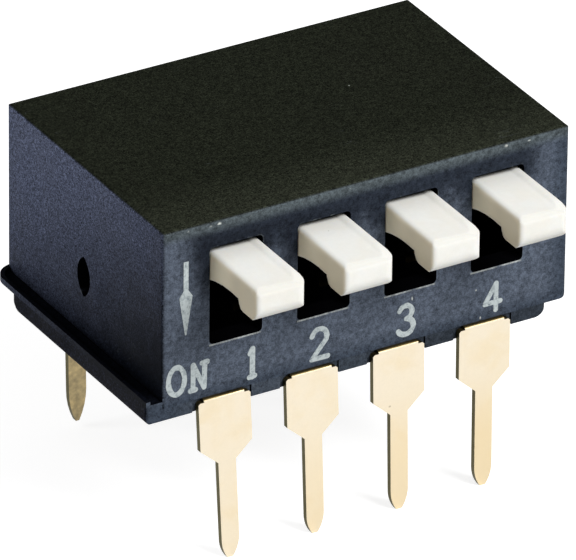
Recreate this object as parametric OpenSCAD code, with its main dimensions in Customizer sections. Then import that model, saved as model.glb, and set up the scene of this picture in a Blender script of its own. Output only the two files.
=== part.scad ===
// Four-way DIP switch of the piano kind: through-hole leads, levers at the front.
// The origin is the centre of the 2 x 4 grid of leads, in the plane of the board's top,
// where the shoulders of the leads end and their tails begin. X runs along the front
// face, Y to the back and Z up. All sizes are in millimetres.

/* [Lead grid] */
// Distance between neighbouring leads, levers and slots
pitch = 2.54; // [2.45:0.01:2.65]
// How far the front leads stand out of the base's front face
lead_proud = 0.12; // [0.08:0.01:0.14]
// Gap between the base's back face and the rear leads
rear_gap = 0.62; // [0.55:0.01:0.7]

/* [Leads] */
// Thickness of the lead strip
lead_t = 0.16; // [0.15:0.01:0.2]
// Width of a lead's blade, its upper part
lead_w = 1.5; // [1.35:0.01:1.6]
// Width of the neck above the blade, and of the strip inside the base
neck_w = 1.16; // [1:0.01:1.25]
// Height of the neck above the blade
neck_h = 0.07; // [0.05:0.01:0.12]
// Chamfer at the blade's upper corners
neck_cut = 0.05; // [0.03:0.01:0.08]
// Width of the tail that goes through the board
tail_w = 0.51; // [0.4:0.01:0.65]
// Length of the tail below the board's top
tail_len = 2.82; // [2:0.01:3.6]
// How much shorter the tails of the rear leads are
rear_short = 0.22; // [0:0.01:0.3]
// Length of a front tail's rounded end
tip_len = 0.56; // [0.3:0.01:0.7]
// Width that is left at the very tip of a front tail
tip_w = 0.16; // [0.1:0.01:0.3]
// Length of a rear tail's rounded end
rear_tip_len = 0.9; // [0.6:0.01:1]
// Width that is left at the very tip of a rear tail
rear_tip_w = 0.1; // [0.06:0.01:0.2]
// Height of the tapered shoulder above the board's top
shoulder_h = 0.45; // [0.2:0.01:0.7]
// Outside radius of the bend
bend_r = 0.06; // [0.03:0.01:0.1]
// How far the tip of the first front lead leans to the right
lean_first = 0.24; // [0:0.01:0.3]
// How far the tip of the last front lead leans to the right
lean_last = 0.03; // [0:0.01:0.25]
// How far the tips of the rear leads lean to the right
lean_rear = 0.09; // [0:0.01:0.25]

/* [Base] */
// Distance from the first leads to the left end of the base
base_left = 1.435; // [1.4:0.005:1.5]
// Distance from the last leads to the right end of the base
base_right = 1.13; // [1.1:0.01:1.2]
// Depth of the base, front face to back face
base_d = 6.88; // [6.7:0.01:7]
// Height of the base's underside above the board
stand_off = 1.59; // [1.4:0.01:1.8]
// Height of the block below the parting line
foot_h = 0.35; // [0.32:0.01:0.5]
// Height of the ledge that shows beside the cover's left end
ledge_h = 0.13; // [0.06:0.01:0.2]
// Height of the deck that fits inside the cover
deck_h = 0.32; // [0.25:0.01:0.4]
// Radius of the lower edge at the base's left end
base_left_r = 0.12; // [0.05:0.01:0.2]
// Radius of the lower edge at the base's right end
base_right_r = 0.34; // [0.2:0.01:0.4]
// Radius of the lower edge at the base's back
base_back_r = 0.52; // [0.4:0.01:0.6]
// Radius of the base's upright corners
base_corner_r = 0.1; // [0.05:0.01:0.2]
// Clearance round a lead in its seat
seat_gap = 0.01; // [0.005:0.005:0.02]
// Clearance beside a blade in its recess in the front face
blade_gap = 0.03; // [0.03:0.005:0.05]

/* [Underside] */
// Diameter of the ejector marks
ejector_d = 0.9; // [0.6:0.05:1.2]
// Depth of the ejector marks
ejector_depth = 0.04; // [0.02:0.01:0.06]
// Distance of the ejector marks from the middle of the base, along X
ejector_x = 4.6; // [4:0.05:4.8]
// Distance of the ejector marks from the middle of the base, along Y
ejector_y = 1.9; // [1.5:0.05:2.3]

/* [Cover] */
// Distance from the outer slots to the ends of the cover
cover_end = 1.335; // [1.3:0.005:1.4]
// Depth of the cover
cover_d = 7.99; // [7.7:0.01:8.2]
// Height of the cover above the parting line
cover_h = 4.95; // [4.8:0.01:5.2]
// How far the cover, slots and levers lie to the right of the lead grid's centre
cover_shift = 0.385; // [0.35:0.005:0.42]
// Thickness of the two end walls
end_wall = 0.75; // [0.6:0.01:0.8]
// Thickness of the front wall with the slots
front_wall = 0.6; // [0.45:0.01:0.7]
// Thickness of the back wall
back_wall = 0.6; // [0.45:0.01:0.7]
// Thickness of the roof
roof = 0.62; // [0.5:0.01:0.7]
// Radius of the top edges
top_edge_r = 0.1; // [0.05:0.01:0.2]
// Radius of the upright edges
upright_edge_r = 0.12; // [0.05:0.01:0.2]
// Radius of the lower corner at the right end
low_corner_r = 0.2; // [0.1:0.01:0.3]
// Radius of the corners inside the cover
inner_r = 0.2; // [0.1:0.01:0.3]
// Clearance between the deck and the cover's walls
deck_gap = 0.04; // [0.02:0.01:0.06]

/* [Lip at the left end] */
// Height of the lip above the ledge
lip_h = 0.16; // [0.12:0.01:0.22]
// Radius of the lip's rear corner
lip_r = 0.62; // [0.5:0.01:0.7]
// Depth of the groove between the lip and the end wall
groove_depth = 0.1; // [0.05:0.01:0.11]
// Thickness of the rim outside the groove
rim_t = 0.12; // [0.08:0.01:0.15]

/* [Slots] */
// Width of a slot
slot_w = 1.53; // [1.51:0.01:1.6]
// Height of the land between the slots and the cover's top
slot_land = 0.74; // [0.7:0.01:0.8]
// Height of a slot
slot_h = 2.75; // [2.7:0.01:2.85]
// Radius of a slot's corners
slot_r = 0.12; // [0.05:0.01:0.2]

/* [End windows] */
// Width of the pointed window that shows the end of the pin
window_w = 0.66; // [0.6:0.01:0.8]
// Height of the pointed window
window_h = 1.16; // [1:0.01:1.4]

/* [Pivot] */
// Distance of the pivot from the lead grid's centre, towards the back
pivot_y = 0.25; // [0.1:0.01:0.35]
// Height of the pivot above the parting line
pivot_h = 1.84; // [1.8:0.01:1.9]
// Diameter of the pivot pin
pin_d = 0.55; // [0.45:0.01:0.56]
// Radial clearance of the pin in the base's webs
pin_fit = 0.01; // [0.005:0.005:0.02]
// Radial clearance of a lever on the pin
hinge_gap = 0.025; // [0.015:0.005:0.04]
// Chamfer at the ends of the pin
pin_chamfer = 0.06; // [0.03:0.01:0.1]
// Radius of the web's round top
web_r = 0.72; // [0.6:0.01:0.8]
// Clearance between a lever and the web beside it
web_gap = 0.1; // [0.06:0.01:0.14]

/* [Levers] */
// Width of a lever
lever_w = 1.47; // [1.4:0.01:1.49]
// Distance from the front face to the tip of a lever
lever_reach = 2.26; // [2.1:0.01:2.4]
// Gap between a lever at rest and the slot's upper edge
lever_gap = 0.16; // [0.11:0.01:0.22]
// Thickness of the arm where it leaves the slot
arm_t = 0.77; // [0.72:0.01:0.82]
// Height of the hollow below the arm
arch_h = 0.18; // [0.1:0.01:0.22]
// Distance from the front face to the top of the hollow
arch_y = 1; // [0.9:0.01:1.1]
// Half the length of the hollow
arch_half = 1.1; // [1.05:0.01:1.2]
// Depth of the nose, front to back
nose_d = 0.92; // [0.88:0.01:1]
// Height of the nose
nose_h = 0.96; // [0.9:0.01:1.02]
// Radius of the belly's front and back
belly_r = 0.42; // [0.4:0.01:0.45]
// Length of the flat part below the belly
belly_len = 0.05; // [0.02:0.01:0.08]
// Radius of the nose's upright edge at the left
nose_left_r = 0.12; // [0.08:0.01:0.2]
// Radius of the nose's upright edge at the right
nose_right_r = 0.25; // [0.15:0.01:0.3]
// Radius of the nose's lower edge at the left
nose_low_left_r = 0.14; // [0.1:0.01:0.25]
// Radius of the nose's lower edge at the right
nose_low_right_r = 0.26; // [0.15:0.01:0.28]
// Radius of the edge between the top and the nose's front
nose_edge_r = 0.18; // [0.1:0.01:0.25]
// Radius of the roll over the right front corner of the top
roll_r = 1; // [0.8:0.05:1.3]
// Distance from that corner to the start of the roll
roll_len = 0.6; // [0.4:0.01:0.7]
// Radius of the roll under the right front corner of the nose
low_roll_r = 0.5; // [0.49:0.01:0.6]
// Distance from that corner to the start of the roll
low_roll_len = 0.48; // [0.42:0.01:0.49]
// Radius of the long top edge at the left
lever_left_r = 0.16; // [0.1:0.01:0.19]
// Radius of the long top edge at the right
lever_right_r = 0.1; // [0.06:0.01:0.14]
// Radius of the ball that dents the nose's left side
dent_r = 1.8; // [1.5:0.05:2.2]
// Depth of that dent
dent_depth = 0.04; // [0.02:0.005:0.06]
// Distance from the tip to the middle of the dent
dent_y = 0.45; // [0.4:0.01:0.5]
// Distance from the top to the middle of the dent
dent_z = 0.46; // [0.42:0.01:0.5]
// Radius of the hub round the pin
hub_r = 0.9; // [0.8:0.01:1]
// Distance from the pivot to where the arm's top slopes down to the hub
slope_y = 2.34; // [2.2:0.01:2.5]
// Width of the rim beside the finger rest on the top
rest_rim = 0.19; // [0.15:0.01:0.25]
// Depth of the finger rest beside the rim
rest_depth = 0.035; // [0.02:0.005:0.05]
// Width of the slope between the finger rest and the rim
rest_slope = 0.09; // [0.05:0.01:0.12]
// Distance from the left side to the start of the finger rest
rest_start = 0.2; // [0.2:0.01:0.3]
// Turn of a lever from off to on, in degrees
lever_turn = 22; // [18:1:22]

/* [Contacts] */
// Diameter of a contact ball
ball_d = 0.76; // [0.7:0.01:0.78]
// Clearance between a ball and the bore that holds it
ball_gap = 0.02; // [0.015:0.005:0.03]
// Clearance between a ball and the lead below it, at the middle of its travel
contact_gap = 0.02; // [0.01:0.005:0.03]
// Thickness of the wall round the spring, towards the front and the back
foot_wall = 0.2; // [0.15:0.01:0.22]
// Thickness of the wall between the pin's bore and the spring's bore
bore_wall = 0.2; // [0.12:0.01:0.24]
// Wire of the contact spring
wire_d = 0.1; // [0.08:0.01:0.12]
// Outside diameter of the contact spring
spring_d = 0.68; // [0.6:0.01:0.7]
// Turns of the contact spring
spring_turns = 3.5; // [2.5:0.5:4]
// Gap between the front and the rear lead under the ball
split = 0.3; // [0.2:0.01:0.4]
// Free room round a lever's foot in its well
well_gap = 0.14; // [0.1:0.01:0.2]

/* [Hidden] */
$fn = 48;

ways = 4;
far = 20;           // longer than the part, for cuts that run out of it
past = 1;           // how far a cut runs past the face that it opens
eps = 0.01;         // overlap that joins two shapes of one solid
smooth_sides = 360; // sides of the large, flat arcs
dent_sides = 120;   // sides of the ball that dents a nose
spring_sides = 6;
spring_steps = 14;  // rings of the spring's sweep in one turn

// Heights
part_z = stand_off + foot_h;
ledge_z = part_z + ledge_h;
deck_z = part_z + deck_h;
top_z = part_z + cover_h;
roof_z = top_z - roof;
slot_top_z = top_z - slot_land;
sill_z = slot_top_z - slot_h;
lever_z = slot_top_z - lever_gap;
pivot_z = part_z + pivot_h;
lead_top_z = part_z - seat_gap;

// The front leads lie in recesses of the base, the rear ones stand clear of it
row_span = base_d + lead_proud + rear_gap;
row_w = (ways - 1) * pitch;
base_x0 = -(row_w + lead_w) / 2 - base_left;
base_x1 = (row_w + lead_w) / 2 + base_right;
cover_w = row_w + slot_w + 2 * cover_end;

// Room beside the blades in the base, for the lead that leans most at its shoulders
lean_room = leaned([0, shoulder_h], max(lean_first, lean_last))[0];

// The base and the cover share the plane of the front face
front_y = -row_span / 2 - lead_t / 2 + lead_proud;
back_y = front_y + base_d;
cover_back_y = front_y + cover_d;
cover_x0 = cover_shift - cover_w / 2;
cover_x1 = cover_shift + cover_w / 2;
room_x0 = cover_x0 + end_wall;
room_x1 = cover_x1 - end_wall;
room_y0 = front_y + front_wall;
room_y1 = cover_back_y - back_wall;
deck_x0 = room_x0 + deck_gap;
deck_x1 = room_x1 - deck_gap;
deck_y0 = room_y0 + deck_gap;
deck_y1 = room_y1 - deck_gap;

// The ball hangs below the pivot, and swings as far to the front as to the back
ball_r = ball_d / 2;
swing = lever_turn / 2;
ball_arm = pivot_z - lead_top_z - ball_r - contact_gap;
split_y = pivot_y + ball_arm * sin(swing);
bore_r = ball_r + ball_gap;
bore_top = pin_d / 2 + hinge_gap + bore_wall;
spring_len = ball_arm - ball_r - bore_top;
foot_half = bore_r + foot_wall;
well_half = ball_arm * sin(swing) + foot_half * cos(swing) + well_gap;
well_w = lever_w + 2 * web_gap;

// The lever's tip, and the place where its arm meets the nose
tip_y = front_y - lever_reach;
nose_back_y = tip_y + nose_d;
arm_low_z = lever_z - arm_t;

// The hollow below the arm is a part of a large circle
arch_r = arch_radius(arch_half, arch_h);
arch_mid = [front_y - arch_y, arm_low_z + arch_h - arch_r];
arch_end_z = arch_mid[1] + sqrt(pow(arch_r, 2) - pow(nose_back_y - arch_mid[0], 2));

function lead_x(i) = (i - (ways + 1) / 2) * pitch;
function lever_x(i) = lead_x(i) + cover_shift;

// Radius of an arch that rises by the given height over half of its span
function arch_radius(half_span, height) =
    (half_span * half_span + height * height) / (2 * height);

// Point of a lead's outline after the lead has leant over from its bend
function leaned(p, lean) =
    [p[0] + lean * (lead_top_z - p[1]) / (lead_top_z + tail_len), p[1]];

// How far the tip of a front lead leans to the right
function front_lean(i) = lean_first + (lean_last - lean_first) * (i - 1) / (ways - 1);

// Where a straight line from point p touches a circle; side is 1 or -1
function touch(p, centre, r, side) =
    let (d = p - centre, a = atan2(d[1], d[0]) + side * acos(r / norm(d)))
    centre + r * [cos(a), sin(a)];

module along_x(x0, x1) {
    translate([x0, 0, 0]) rotate([90, 0, 90]) linear_extrude(x1 - x0) children();
}

module along_y(y0, y1) {
    translate([0, y1, 0]) rotate([90, 0, 0]) linear_extrude(y1 - y0) children();
}

module along_z(z0, z1) {
    translate([0, 0, z0]) linear_extrude(z1 - z0) children();
}

// What has to come off a square corner at (x, y) to round it; sx and sy point inwards
module corner(x, y, sx, sy, r) {
    difference() {
        translate([x + sx * r / 4, y + sy * r / 4]) square(1.5 * r, center = true);
        translate([x + sx * r, y + sy * r]) circle(r);
    }
}

// Rectangle with its own radius at each corner: low left, low right, top right, top left
module soft_rect(x0, x1, y0, y1, r) {
    difference() {
        translate([x0, y0]) square([x1 - x0, y1 - y0]);
        if (r[0] > 0) corner(x0, y0, 1, 1, r[0]);
        if (r[1] > 0) corner(x1, y0, -1, 1, r[1]);
        if (r[2] > 0) corner(x1, y1, -1, -1, r[2]);
        if (r[3] > 0) corner(x0, y1, 1, -1, r[3]);
    }
}

// Moulded base: a foot block with a ledge, a deck inside the cover, and webs for the pin
module base() {
    color([0.13, 0.14, 0.17])
    difference() {
        union() {
            foot_block();
            along_z(part_z - eps, deck_z)
                soft_rect(deck_x0, deck_x1, deck_y0, deck_y1, inner_r * [1, 1, 1, 1]);
            for (i = [0 : ways]) web(i);
        }
        for (i = [1 : ways]) well(i);
        for (i = [1 : ways]) lead_seats(i);
        along_x(-far, far) translate([pivot_y, pivot_z]) circle(pin_d / 2 + pin_fit);
        translate([(base_x0 + base_x1) / 2, (front_y + back_y) / 2, stand_off - past])
            for (sx = [-1, 1]) for (sy = [-1, 1])
                translate([sx * ejector_x, sy * ejector_y, 0])
                    cylinder(d = ejector_d, h = past + ejector_depth);
    }
}

module foot_block() {
    intersection() {
        along_z(stand_off, ledge_z)
            soft_rect(base_x0, base_x1, front_y, back_y, base_corner_r * [1, 1, 1, 1]);
        along_x(base_x0, base_x1)
            soft_rect(front_y, back_y, stand_off, ledge_z + past, [0, base_back_r, 0, 0]);
        along_y(front_y, back_y) union() {
            soft_rect(base_x0, base_x1, stand_off, part_z, [base_left_r, base_right_r, 0, 0]);
            translate([base_x0, part_z - eps]) square([cover_x0 - base_x0, ledge_h + eps]);
        }
    }
}

// Upright web that carries the pin; the outer two reach to the deck's ends
module web(i) {
    x0 = i == 0 ? deck_x0 : lever_x(i) + well_w / 2;
    x1 = i == ways ? deck_x1 : lever_x(i + 1) - well_w / 2;
    along_x(x0, x1) {
        translate([pivot_y, pivot_z]) circle(web_r);
        polygon([
            [pivot_y - well_half, part_z], [pivot_y + well_half, part_z],
            [pivot_y + web_r, pivot_z], [pivot_y - web_r, pivot_z]
        ]);
    }
}

// Pocket in the deck that a lever's foot swings in, down to the leads
module well(i) {
    along_x(lever_x(i) - well_w / 2, lever_x(i) + well_w / 2)
        soft_rect(pivot_y - well_half, pivot_y + well_half, lead_top_z, top_z, [0, 0, 0, 0]);
}

// Where the two leads of one way lie in the base, and the recess of the front one's blade
module lead_seats(i) {
    w = neck_w / 2 + seat_gap;
    recess_half = lead_w / 2 + blade_gap + lean_room;
    low = lead_top_z - lead_t - seat_gap;
    recess = lead_t - lead_proud + seat_gap;
    translate([lead_x(i) - recess_half, front_y - past, stand_off - past])
        cube([2 * recess_half, past + recess, past + foot_h]);
    translate([lead_x(i) - w, -far, low])
        cube([2 * w, far + split_y - split / 2 + seat_gap, part_z - low]);
    translate([lead_x(i) - w, split_y + split / 2 - seat_gap, low])
        cube([2 * w, far, part_z - low]);
}

// Moulded cover: a shell open below, with four slots, two end windows and a lip
module cover() {
    color([0.11, 0.13, 0.1])
    difference() {
        union() {
            cover_block();
            lip();
        }
        along_z(part_z - past, roof_z)
            soft_rect(room_x0, room_x1, room_y0, room_y1, inner_r * [1, 1, 1, 1]);
        for (i = [1 : ways])
            along_y(front_y - past, room_y0 + past)
                soft_rect(lever_x(i) - slot_w / 2, lever_x(i) + slot_w / 2,
                          sill_z, slot_top_z, slot_r * [1, 1, 1, 1]);
        along_x(-far, far) window();
    }
}

module cover_block() {
    t = top_edge_r;
    u = upright_edge_r;
    intersection() {
        along_y(front_y, cover_back_y)
            soft_rect(cover_x0, cover_x1, part_z, top_z, [0, low_corner_r, t, t]);
        along_x(cover_x0, cover_x1)
            soft_rect(front_y, cover_back_y, part_z, top_z, [0, 0, t, t]);
        along_z(part_z, top_z)
            soft_rect(cover_x0, cover_x1, front_y, cover_back_y, [u, u, u, u]);
    }
}

// Thin lip that covers the ledge, with a groove between its rim and the end wall
module lip() {
    difference() {
        along_z(ledge_z, ledge_z + lip_h)
            soft_rect(base_x0, cover_x0 + 2 * lip_r, front_y, cover_back_y, [0, 0, 0, lip_r]);
        along_z(ledge_z + lip_h - groove_depth, top_z)
            soft_rect(base_x0 + rim_t, cover_x0, front_y - past, cover_back_y - rim_t,
                      [0, 0, 0, lip_r - rim_t]);
    }
}

// Window between two arcs that meet above and below the pin
module window() {
    r = arch_radius(window_h / 2, window_w / 2);
    intersection_for (s = [-1, 1])
        translate([pivot_y + s * (r - window_w / 2), pivot_z]) circle(r);
}

// Turned steel pin through the webs and the levers
module pivot_pin() {
    color("silver")
    translate([0, pivot_y, pivot_z]) rotate([90, 0, 90]) rotate_extrude()
        polygon([
            [0, deck_x0], [pin_d / 2 - pin_chamfer, deck_x0], [pin_d / 2, deck_x0 + pin_chamfer],
            [pin_d / 2, deck_x1 - pin_chamfer], [pin_d / 2 - pin_chamfer, deck_x1], [0, deck_x1]
        ]);
}

// One lever at rest, which is off: the nose up
module lever(i) {
    color([0.92, 0.91, 0.87])
    translate([lever_x(i), 0, 0]) difference() {
        union() {
            lever_nose();
            intersection() {
                along_x(-lever_w / 2, lever_w / 2) arm_outline();
                along_y(nose_back_y - eps, far)
                    soft_rect(-lever_w / 2, lever_w / 2, 0, lever_z,
                              [0, 0, lever_right_r, lever_left_r]);
            }
            lever_foot();
        }
        finger_rest();
        corner_roll(lever_z, 1, roll_r, roll_len);
        corner_roll(lever_z - nose_h, -1, low_roll_r, low_roll_len);
        nose_dent();
        along_x(-far, far) translate([pivot_y, pivot_z]) circle(pin_d / 2 + hinge_gap);
        hang() translate([0, 0, bore_top]) cylinder(r = bore_r, h = far);
    }
}

// Puts what is drawn along +Z from the pivot into the lever's resting line, below the pin
module hang() {
    translate([0, pivot_y, pivot_z]) rotate([180 - swing, 0, 0]) children();
}

// Arm, from the nose to the hub, with the hollow below it
module arm_outline() {
    pivot = [pivot_y, pivot_z];
    slope = [pivot_y - slope_y, lever_z];
    heel = [room_y0, arm_low_z];
    translate(pivot) circle(hub_r);
    difference() {
        polygon([
            [nose_back_y - eps, lever_z], slope, touch(slope, pivot, hub_r, -1), pivot,
            touch(heel, pivot, hub_r, 1), heel, [nose_back_y - eps, arm_low_z]
        ]);
        translate(arch_mid) circle(arch_r, $fn = smooth_sides);
    }
}

// Nose: a block with rounded corners and a round belly below it
module lever_nose() {
    low_z = lever_z - nose_h;
    intersection() {
        along_x(-lever_w / 2, lever_w / 2) intersection() {
            soft_rect(tip_y, nose_back_y, low_z, lever_z, [0, 0, 0, nose_edge_r]);
            union() {
                translate([tip_y, low_z + belly_r]) square([nose_d, nose_h]);
                translate([tip_y + belly_r, arch_end_z]) square([nose_d, nose_h]);
                translate([tip_y + belly_r, low_z]) square([belly_len, nose_h]);
                for (y = [belly_r, belly_r + belly_len])
                    translate([tip_y + y, low_z + belly_r]) circle(belly_r);
            }
        }
        along_y(tip_y, nose_back_y)
            soft_rect(-lever_w / 2, lever_w / 2, low_z, lever_z,
                      [nose_low_left_r, nose_low_right_r, lever_right_r, lever_left_r]);
        along_z(low_z, lever_z)
            soft_rect(-lever_w / 2, lever_w / 2, tip_y, nose_back_y,
                      [nose_left_r, nose_right_r, 0, 0]);
    }
}

// Foot below the hub, which holds the spring and the ball
module lever_foot() {
    hang() translate([-lever_w / 2, -foot_half, 0]) cube([lever_w, 2 * foot_half, ball_arm]);
}

// Top that falls a little to the right, up to a low rim along the right side
module finger_rest() {
    x0 = rest_start - lever_w / 2;
    x1 = lever_w / 2 - rest_rim;
    along_y(-far, pivot_y) polygon([
        [x0, lever_z], [x1 - rest_slope, lever_z - rest_depth], [x1, lever_z],
        [x1, lever_z + past], [x0, lever_z + past]
    ]);
}

// What comes off beyond an arc that rolls over the right front corner of the nose at
// height z; side is 1 above the nose and -1 below it
module corner_roll(z, side, r, len) {
    translate([lever_w / 2, tip_y, z]) rotate([0, 0, -45]) along_y(-far, far)
        translate([-len, 0]) difference() {
            translate([0, side > 0 ? -r : -past]) square([r, r + past]);
            translate([0, -side * r]) circle(r, $fn = smooth_sides);
        }
}

// Shallow round dent in the left side of the nose
module nose_dent() {
    translate([dent_depth - dent_r - lever_w / 2, tip_y + dent_y, lever_z - dent_z])
        sphere(dent_r, $fn = dent_sides);
}

// Round wire wound from the bore's blind end down to the ball
module contact_spring(i) {
    r = (spring_d - wire_d) / 2;
    rings = ceil(spring_turns * spring_steps);
    rise = spring_len - wire_d;
    path = [for (k = [0 : rings])
        [r * cos(360 * spring_turns * k / rings),
         r * sin(360 * spring_turns * k / rings),
         bore_top + wire_d / 2 + rise * k / rings]];
    color("goldenrod") translate([lever_x(i), 0, 0]) hang() coil(path, wire_d / 2);
}

// Tube along a path that winds round the Z axis
module coil(path, r) {
    n = len(path);
    points = [for (k = [0 : n - 1]) for (s = [0 : spring_sides - 1])
        let (p = path[k], out = [p[0], p[1], 0] / norm([p[0], p[1]]), a = 360 * s / spring_sides)
        p + r * (cos(a) * out + sin(a) * [0, 0, 1])];
    sides = [for (k = [0 : n - 2]) for (s = [0 : spring_sides - 1])
        let (a = k * spring_sides + s, b = k * spring_sides + (s + 1) % spring_sides)
        [a, b, b + spring_sides, a + spring_sides]];
    ends = [[for (s = [spring_sides - 1 : -1 : 0]) s],
            [for (s = [0 : spring_sides - 1]) (n - 1) * spring_sides + s]];
    polyhedron(points, concat(sides, ends), convexity = 10);
}

module contact_ball(i) {
    color("gold") translate([lever_x(i), 0, 0])
        hang() translate([0, 0, ball_arm]) sphere(ball_r);
}

// Stamped lead, drawn for the front row: strip in the base, neck, and the part that shows
module lead(strip_end, lean, len, end_len, end_w) {
    y0 = -row_span / 2 - lead_t / 2;
    along_x(-neck_w / 2, neck_w / 2)
        soft_rect(y0, strip_end, lead_top_z - lead_t, lead_top_z, [0, 0, 0, bend_r]);
    along_y(y0, y0 + lead_t) lead_front(lean, len, end_len, end_w);
}

// Outline of a lead from the front: blade, tapered shoulder, tail and rounded tip
module lead_front(lean, len, end_len, end_w) {
    blade_z = lead_top_z - neck_h;
    tip_z = end_len - len;
    tip_r = arch_radius(end_len, (tail_w - end_w) / 2);
    polygon([for (p = [
        [neck_cut - lead_w / 2, blade_z], [lead_w / 2 - neck_cut, blade_z],
        [lead_w / 2, blade_z - neck_cut], [lead_w / 2, shoulder_h], [tail_w / 2, 0],
        [tail_w / 2, tip_z], [-tail_w / 2, tip_z],
        [-tail_w / 2, 0], [-lead_w / 2, shoulder_h], [-lead_w / 2, blade_z - neck_cut]
    ]) leaned(p, lean)]);
    translate(leaned([0, tip_z], lean)) intersection() {
        translate([-tail_w / 2, -end_len]) square([tail_w, end_len + eps]);
        intersection_for (s = [-1, 1]) translate([s * (tip_r - tail_w / 2), 0]) circle(tip_r);
    }
}

module front_lead(i) {
    color([0.93, 0.86, 0.68]) translate([lead_x(i), 0, 0])
        lead(split_y - split / 2, front_lean(i), tail_len, tip_len, tip_w);
}

module rear_lead(i) {
    color([0.93, 0.86, 0.68]) translate([lead_x(i), 0, 0]) rotate([0, 0, 180])
        lead(-split_y - split / 2, -lean_rear, tail_len - rear_short,
             rear_tip_len, rear_tip_w);
}

base();
cover();
pivot_pin();
for (i = [1 : ways]) {
    lever(i);
    contact_spring(i);
    contact_ball(i);
    front_lead(i);
    rear_lead(i);
}
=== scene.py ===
# %% [markdown]
# # A four-way piano DIP switch
# This notebook dresses the construction model of a small through-hole switch: a black
# moulded cover on a thin base, four warm white levers and two rows of pale gold leads.
# The model arrives with its true sizes, so nothing here moves or scales it. What is
# made here is the finish of each surface, the print, the light and the camera.

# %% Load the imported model
import math
import random

import bmesh
import bpy
from mathutils import Matrix, Vector
from mathutils.geometry import delaunay_2d_cdt


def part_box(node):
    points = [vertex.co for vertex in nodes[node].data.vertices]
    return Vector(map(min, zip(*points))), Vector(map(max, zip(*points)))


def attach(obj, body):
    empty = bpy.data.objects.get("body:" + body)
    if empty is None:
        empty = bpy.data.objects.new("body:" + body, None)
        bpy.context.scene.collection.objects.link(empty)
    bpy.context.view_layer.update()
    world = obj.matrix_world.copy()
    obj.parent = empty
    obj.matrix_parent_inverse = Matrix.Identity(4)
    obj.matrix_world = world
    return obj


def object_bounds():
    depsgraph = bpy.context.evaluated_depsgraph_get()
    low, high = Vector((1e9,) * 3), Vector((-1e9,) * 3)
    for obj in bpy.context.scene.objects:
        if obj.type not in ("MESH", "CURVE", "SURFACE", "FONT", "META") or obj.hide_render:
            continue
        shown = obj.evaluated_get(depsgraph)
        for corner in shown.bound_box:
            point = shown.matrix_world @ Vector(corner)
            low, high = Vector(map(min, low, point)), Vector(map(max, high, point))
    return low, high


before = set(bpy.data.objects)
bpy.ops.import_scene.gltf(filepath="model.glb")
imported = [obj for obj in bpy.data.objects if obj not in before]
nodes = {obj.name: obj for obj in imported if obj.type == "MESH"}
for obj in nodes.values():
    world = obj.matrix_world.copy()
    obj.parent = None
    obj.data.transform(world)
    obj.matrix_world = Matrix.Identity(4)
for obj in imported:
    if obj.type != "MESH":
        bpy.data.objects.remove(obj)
cad_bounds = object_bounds()
MM = 0.001
print("pieces in the frame:", len(nodes))

# %% [markdown]
# ## Colours as a camera writes them
# Colours read off a product photograph are display values from 0 to 255, while shader
# sockets take linear light. One small function converts them, so every finish below can
# be written in the numbers that a colour picker shows.


# %% Turn display colours into linear light
def linear(red, green, blue):
    """An RGBA colour for a shader socket, from display values of 0 to 255."""
    def channel(value):
        value /= 255
        return value / 12.92 if value <= 0.04045 else ((value + 0.055) / 1.055) ** 2.4
    return (channel(red), channel(green), channel(blue), 1.0)


print("mid grey in linear light:", round(linear(128, 128, 128)[0], 3))

# %% [markdown]
# ## The camera
# A switch this small is photographed from far away with a very long lens, which keeps its
# edges nearly parallel. The camera is placed by angles round a point inside the part. It
# could also be tracked to an empty, but angles and a distance can be read off directly.

# %% Place the camera
AZIMUTH = math.radians(30.558)
ELEVATION = math.radians(28.844)
ROLL = math.radians(0.624)
VIEW_CENTRE = Vector((0, -0.5094, 2.5598)) * MM
VIEW_DISTANCE = 284.145 * MM
FOCAL_LENGTH = 699.43

forward = Vector((
    math.sin(AZIMUTH) * math.cos(ELEVATION),
    math.cos(AZIMUTH) * math.cos(ELEVATION),
    -math.sin(ELEVATION),
))
level = Vector((math.cos(AZIMUTH), -math.sin(AZIMUTH), 0))
upright = level.cross(forward)
right = level * math.cos(ROLL) + upright * math.sin(ROLL)
up = upright * math.cos(ROLL) - level * math.sin(ROLL)

camera_data = bpy.data.cameras.new("camera")
camera_data.lens = FOCAL_LENGTH
camera_data.clip_start = 10 * MM
camera_data.clip_end = 5
camera = bpy.data.objects.new("camera", camera_data)
bpy.context.scene.collection.objects.link(camera)
turn = Matrix((right, up, -forward)).transposed().to_4x4()
camera.matrix_world = Matrix.Translation(VIEW_CENTRE - forward * VIEW_DISTANCE) @ turn
bpy.context.scene.camera = camera
print("camera stands at", [round(c / MM, 1) for c in camera.location], "mm")

# %% [markdown]
# ## A helper for node trees
# Every material and every shader group is a tree of nodes. Writing `nodes.new`, setting
# inputs and making links takes three lines each time, so one function does all three: it
# makes a node, and each input that it is given is either a value or the socket to link.


# %% Make the helper that adds a node
def add(tree, kind, inputs=None, **settings):
    """Adds a node. Inputs go by name or index, and each is a value or an output socket."""
    node = tree.nodes.new("ShaderNode" + kind)
    for name, value in settings.items():
        setattr(node, name, value)
    for key, value in (inputs or {}).items():
        socket = node.inputs[key]
        if isinstance(value, bpy.types.NodeSocket):
            tree.links.new(value, socket)
        else:
            socket.default_value = value
    return node


def mix(tree, factor, first, second, blend="MIX"):
    """Mixes two colours by a factor, and gives back the colour socket."""
    node = add(tree, "Mix", data_type="RGBA", blend_type=blend, clamp_factor=True)
    for socket, value in ((node.inputs[0], factor), (node.inputs[6], first),
                          (node.inputs[7], second)):
        if isinstance(value, bpy.types.NodeSocket):
            tree.links.new(value, socket)
        else:
            socket.default_value = value
    return node.outputs[2]


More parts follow.
